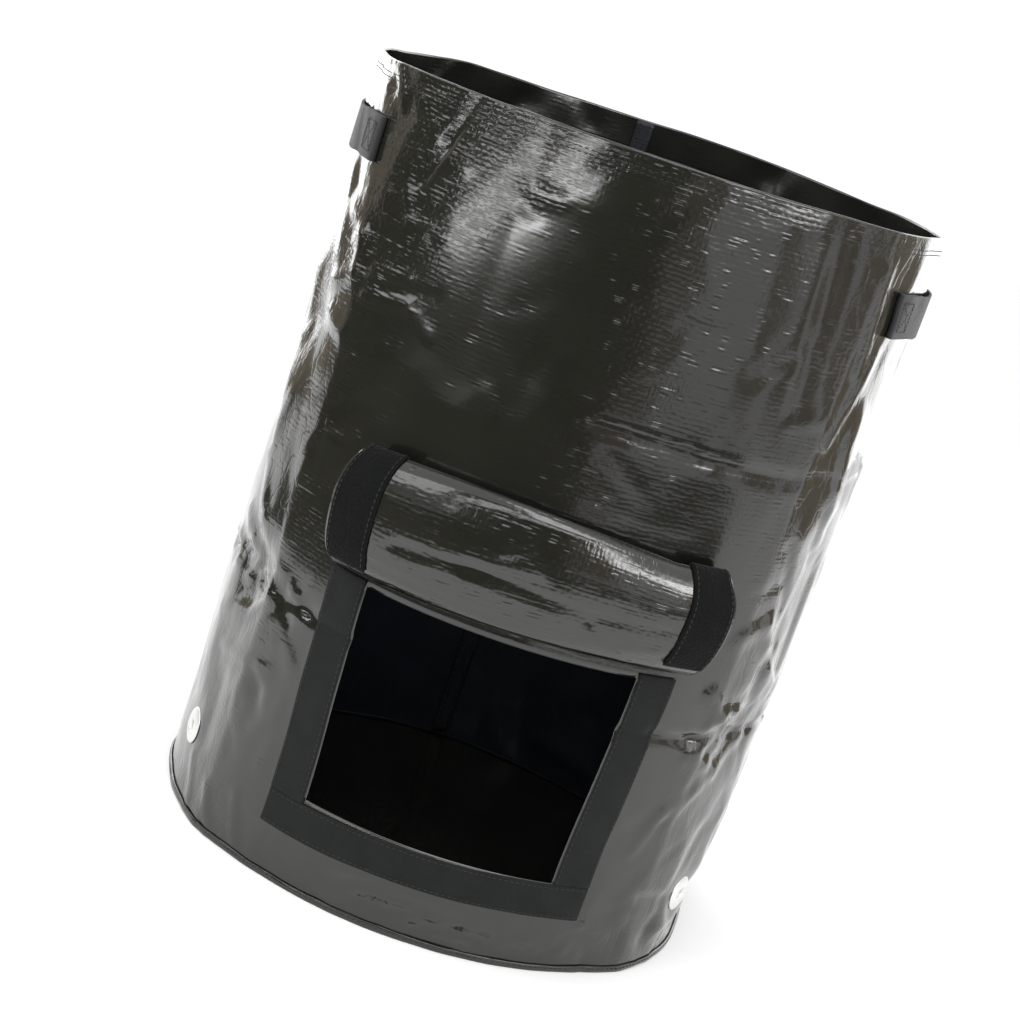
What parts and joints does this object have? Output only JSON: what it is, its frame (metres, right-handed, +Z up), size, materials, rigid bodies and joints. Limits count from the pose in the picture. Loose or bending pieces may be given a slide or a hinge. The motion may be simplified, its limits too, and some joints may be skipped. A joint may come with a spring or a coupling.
{
  "type": "potato grow bag",
  "caption": "Round black woven-plastic planting bag with webbing handles, drain eyelets and a harvest window whose hook-and-loop flap is folded up above it.",
  "frame": {"origin": "middle of the base's underside, on the surface that the bag stands on", "axes": "+Z up through the mouth, -Y out through the harvest window, +X towards the right handle as seen from the window"},
  "size_m": [0.3602, 0.3581, 0.45],
  "materials": {
    "tarpaulin": "black laminated woven polyethylene cloth, glossy, with creases and fine weft ribs",
    "webbing": "dark grey woven polypropylene webbing, matte",
    "loop_tape": "dark grey loop tape with fine cross ribs, matte",
    "hook_tape": "near-black hook tape, matte and fuzzy",
    "eyelet_metal": "bright pressed metal eyelet, smooth"
  },
  "bodies": {
    "root": {"bag_wall": "tarpaulin", "bag_base": "tarpaulin", "base_seam": "tarpaulin", "back_seam": "tarpaulin", "sill_tape": "loop_tape", "side_tape_left": "loop_tape", "side_tape_right": "loop_tape", "flap": "tarpaulin", "flap_end_tape": "hook_tape", "flap_tape_left": "hook_tape", "flap_tape_right": "hook_tape", "handle_left": "webbing", "handle_right": "webbing", "eyelet_front_left": "eyelet_metal", "eyelet_front_right": "eyelet_metal", "eyelet_rear_left": "eyelet_metal", "eyelet_rear_right": "eyelet_metal"}
  },
  "joints": []
}
